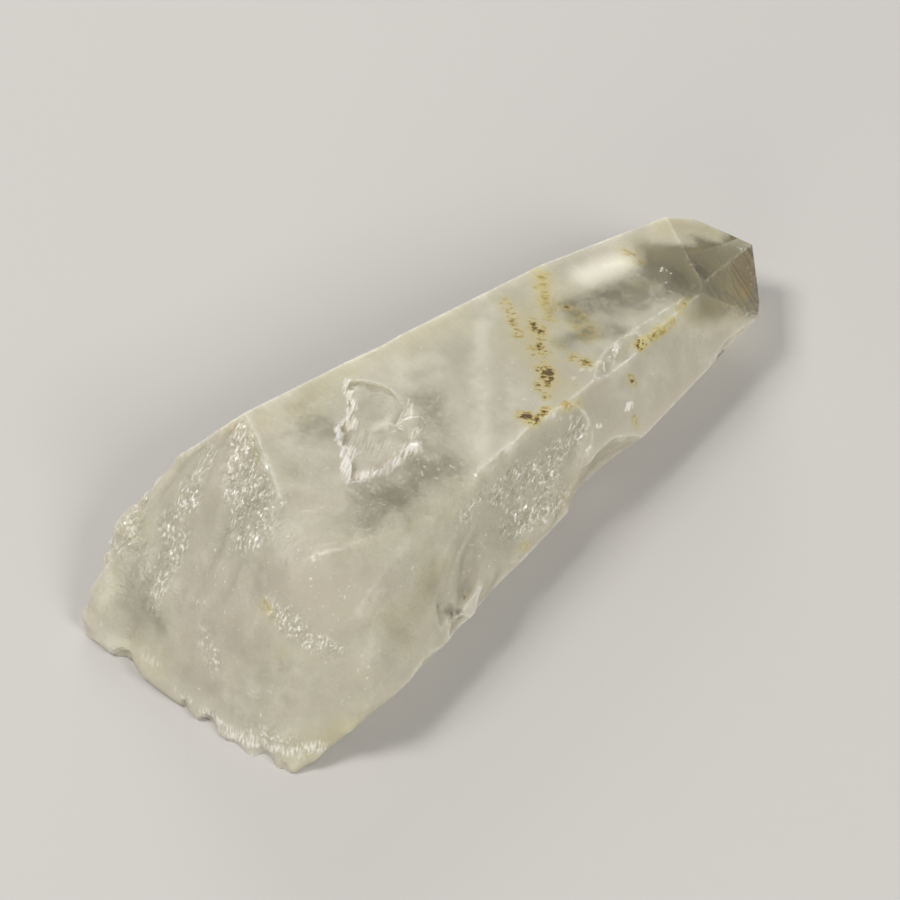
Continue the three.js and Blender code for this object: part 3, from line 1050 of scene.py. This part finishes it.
def stained(nodes, place, flecks, colour, finish):
    """The colour with a yellow haze round the iron, ochre where that is thin and rust where it is thick."""
    blots = nodes.noise(place, 1.3, 2)
    dashes = nodes.grain(place, DASH_TURN, (0.7, 0.28, 0.28), 3)
    flecked = nodes.plus(nodes.plus(flecks, dashes), blots)
    iron = nodes.times(nodes.look("iron"), nodes.ramp(flecked, 1.3, 1.8, 0.05, 1.7))
    haze = nodes.times(nodes.look("haze"), nodes.ramp(blots, 0.3, 0.7, 0.5, 1.0))
    ochre = nodes.ramp(iron, 0.15, 0.9, 0.0, 0.85)
    rust = nodes.ramp(iron, 0.8, 1.35, 0.0, 0.92)
    colour = nodes.mix(haze, colour, opaque(finish.tea))
    colour = nodes.mix(ochre, colour, opaque(finish.ochre))
    return nodes.mix(rust, colour, opaque(finish.rust)), ochre


def skin_of(nodes, place, broken, whole, sparkle):
    """Growth lines on the flat faces, waxy grain in the breaks and tilted cells in the sparkles."""
    lines = nodes.times(nodes.grain(place, (0, 0, 0), (0.5, 9, 9), 1), nodes.times(whole, 0.4))
    wax = nodes.plus(nodes.noise(place, 0.3, 2, 0.6), nodes.noise(place, 1.2, 1, 0.6))
    height = nodes.plus(lines, nodes.times(wax, broken))
    bump = nodes.add("ShaderNodeBump", Strength=0.7, Distance=0.1 * MM, Height=height).outputs[0]
    jitter = nodes.add("ShaderNodeTexNoise", Vector=place, Scale=1 / 0.6, Detail=1.0).outputs["Color"]
    jitter = nodes.vector("SUBTRACT", jitter, (0.5, 0.5, 0.5))
    corners = nodes.vector("MULTIPLY_ADD", jitter, (0.4, 0.4, 0.4), place)
    cells = nodes.add("ShaderNodeTexVoronoi", Vector=corners, Scale=4.0).outputs["Color"]
    tilt = nodes.add("ShaderNodeVectorMath", {"operation": "SCALE"})
    nodes.feed(tilt, "0", nodes.vector("SUBTRACT", cells, (0.5, 0.5, 0.5)))
    nodes.feed(tilt, "Scale", nodes.times(sparkle, 0.8))
    return nodes.vector("NORMALIZE", nodes.vector("ADD", bump, tilt.outputs[0]))


def quartz(finish):
    """Milky quartz with clear windows, a clear point, bruises and stains, and painted light and shade:
    glints, a glow by the point, highlights along the edges and shade in the clefts.
    """
    material = bpy.data.materials.new("milky quartz")
    nodes = NodeTable(material)
    coords = nodes.add("ShaderNodeTexCoord").outputs["Object"]
    place = nodes.add("ShaderNodeMapping", Vector=coords, Scale=(1 / MM, 1 / MM, 1 / MM)).outputs[0]
    broken = nodes.look("broken")
    sparkle = nodes.look("sparkle")
    painted_glow = nodes.look("painted_glow")
    cleft_shade = nodes.look("cleft_shade")
    rim = nodes.look("rim")
    whole = nodes.less(1.0, broken)
    flecks = nodes.noise(place, 0.45, 4, 0.65, 0.4)
    clearness = clearness_of(nodes, place)

    # The colours, from the body out to the painted shade in the clefts.
    # The painted glints in the sparkles; they also make the coat glossier there.
    painted_glints = painted_glints_of(nodes, place, sparkle)
    threads_and_edge_highlights = threads_and_edge_highlights_of(nodes, flecks, clearness)
    # The white holds crushed quartz, threads and crumbs, and painted light: the glints, the highlight along
    # the edges and the lit thin rim.
    white = nodes.most(bruises_and_painted_light_of(nodes, place), threads_and_edge_highlights, crumbs_of(nodes, place), nodes.times(painted_glints, 0.85))
    colour = nodes.mix(clearness, milk_of(nodes, place, whole, finish), opaque(finish.clear))
    colour = nodes.mix(white, colour, opaque(finish.white))
    # The painted glow by the point, a highlight painted into the colour.
    colour = nodes.mix(nodes.times(painted_glow, 0.85), colour, opaque(finish.painted_glow))
    colour, ochre = stained(nodes, place, flecks, colour, finish)
    # Painted shade in the clefts.
    colour = nodes.mix(cleft_shade, colour, opaque(finish.cleft_shade))

    # How much light goes through, most of it on the inner side, and how smooth the skin is.
    hidden = nodes.most(nodes.times(nodes.most(white, ochre, cleft_shade, painted_glow), 0.9), rim)
    through = nodes.times(nodes.ramp(clearness, 0.0, 1.0, 0.12, 0.95), nodes.less(1.0, hidden))
    inside = nodes.add("ShaderNodeNewGeometry").outputs["Backfacing"]
    through = nodes.most(through, nodes.times(inside, 0.92))
    gloss = nodes.ramp(broken, 0.0, 1.0, 0.36, 0.5)
    gloss = nodes.times(gloss, nodes.ramp(clearness, 0.3, 1.0, 1.0, 0.84))
    gloss = nodes.times(gloss, nodes.ramp(nodes.look("point"), 0.3, 0.8, 1.0, 0.1))
    gloss = nodes.times(gloss, nodes.ramp(sparkle, 0.0, 1.0, 1.0, 0.5))
    normal = skin_of(nodes, place, broken, whole, sparkle)

    shader = nodes.add(
        "ShaderNodeBsdfPrincipled",
        Base_Color=colour,
        Roughness=gloss,
        Transmission_Weight=through,
        Coat_Weight=nodes.most(nodes.ramp(broken, 0.0, 1.0, 0.5, 0.06), nodes.times(painted_glints, 0.9)),
        Subsurface_Weight=nodes.less(1.0, nodes.times(rim, 0.85)),
        Subsurface_Radius=(1.0, 0.95, 0.85),
        Subsurface_Scale=finish.glow,
        Normal=normal,
        Coat_Normal=normal,
        Coat_Roughness=0.06,
        Coat_IOR=QUARTZ_IOR,
        IOR=QUARTZ_IOR,
    )
    absorption = nodes.add("ShaderNodeVolumeAbsorption", Color=ABSORBED, Density=ABSORPTION)
    nodes.add("ShaderNodeOutputMaterial", Surface=shader.outputs[0], Volume=absorption.outputs[0])
    return material


def dress(piece, material):
    """Gives a piece its one material."""
    piece.data.materials.clear()
    piece.data.materials.append(material)


# ---------------------------------------------------------------- the pieces


class QUARTZ_OT_crystal(bpy.types.Operator):
    """The crystal, with its breaks worked up from the frame's plain solid"""

    bl_idname = "quartz.crystal"
    bl_label = "Crystal"

    def execute(self, context):
        noise.seed_set(SEED)
        shape = context.scene.crystal_shape
        piece = copy_of_node("crystal", frame["nodes"][NODE])
        shape_crystal(piece, shape)
        mark_crystal(piece)
        bpy.ops.object.shade_smooth_by_angle(angle=SMOOTH_TURN)
        dress(piece, quartz(context.scene.crystal_finish))
        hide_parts(NODE)
        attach(piece, "root")
        deselect_all()
        return {"FINISHED"}


def softbox(name, place, size, power, colour):
    """A soft light that looks at the crystal."""
    deselect_all()
    bpy.ops.object.light_add(type="AREA", location=place)
    light = bpy.context.active_object
    light.name = name
    light.rotation_mode = "QUATERNION"
    light.rotation_quaternion = (-Vector(place)).to_track_quat("-Z", "Y")
    light.data.shape = "RECTANGLE"
    light.data.size, light.data.size_y = size
    light.data.energy = power
    light.data.color = colour


def lay_floor(studio):
    """The plain pale floor."""
    deselect_all()
    bpy.ops.mesh.primitive_circle_add(
        vertices=96, radius=FLOOR_RADIUS, fill_type="NGON", location=(0, 0, -FLOOR_DROP)
    )
    floor = bpy.context.active_object
    floor.name = "floor"
    paper = bpy.data.materials.new("paper floor")
    nodes = NodeTable(paper)
    shader = nodes.add("ShaderNodeBsdfPrincipled", Base_Color=opaque(studio.floor), Roughness=0.7)
    nodes.add("ShaderNodeOutputMaterial", Surface=shader.outputs[0])
    dress(floor, paper)


class QUARTZ_OT_stage(bpy.types.Operator):
    """The floor, the lights and the camera"""

    bl_idname = "quartz.stage"
    bl_label = "Stage"

    def execute(self, context):
        studio = context.scene.crystal_studio
        lay_floor(studio)
        world = bpy.data.worlds.new("studio")
        world.use_nodes = True
        sky = world.node_tree.nodes["Background"]
        sky.inputs["Color"].default_value = WORLD_COLOUR
        sky.inputs["Strength"].default_value = WORLD_STRENGTH
        context.scene.world = world
        for light in LIGHTS:
            softbox(*light)
        context.scene.view_settings.view_transform = "Standard"

        aim = Vector(studio.aim)
        turn, lift = studio.azimuth, studio.elevation
        back = Vector((math.sin(turn) * math.cos(lift), -math.cos(turn) * math.cos(lift), math.sin(lift)))
        deselect_all()
        bpy.ops.object.camera_add(location=aim + back * studio.distance)
        camera = context.active_object
        camera.rotation_mode = "QUATERNION"
        camera.rotation_quaternion = (-back).to_track_quat("-Z", "Y")
        camera.data.lens = studio.lens
        camera.data.clip_start = 0.01
        camera.data.clip_end = 20
        context.scene.camera = camera
        return {"FINISHED"}


class QUARTZ_PT_sidebar(bpy.types.Panel):
    bl_label = "Quartz crystal"
    bl_idname = "QUARTZ_PT_sidebar"
    bl_space_type = "VIEW_3D"
    bl_region_type = "UI"
    bl_category = "Quartz"

    def draw(self, context):
        for label, group, operator in (
            ("Shape", "crystal_shape", None),
            ("Finish", "crystal_finish", QUARTZ_OT_crystal),
            ("Studio", "crystal_studio", QUARTZ_OT_stage),
        ):
            box = self.layout.box()
            box.label(text=label)
            settings = getattr(context.scene, group)
            for name in settings.__annotations__:
                box.prop(settings, name)
            if operator:
                box.operator(operator.bl_idname)


CLASSES = (
    CrystalShape,
    CrystalFinish,
    CrystalStudio,
    QUARTZ_OT_crystal,
    QUARTZ_OT_stage,
    QUARTZ_PT_sidebar,
)


def register():
    for entry in CLASSES:
        bpy.utils.register_class(entry)
    bpy.types.Scene.crystal_shape = PointerProperty(type=CrystalShape)
    bpy.types.Scene.crystal_finish = PointerProperty(type=CrystalFinish)
    bpy.types.Scene.crystal_studio = PointerProperty(type=CrystalStudio)


def unregister():
    del bpy.types.Scene.crystal_studio
    del bpy.types.Scene.crystal_finish
    del bpy.types.Scene.crystal_shape
    for entry in reversed(CLASSES):
        bpy.utils.unregister_class(entry)


def main():
    register()
    bpy.ops.quartz.crystal()
    bpy.ops.quartz.stage()


if __name__ == "__main__":
    main()
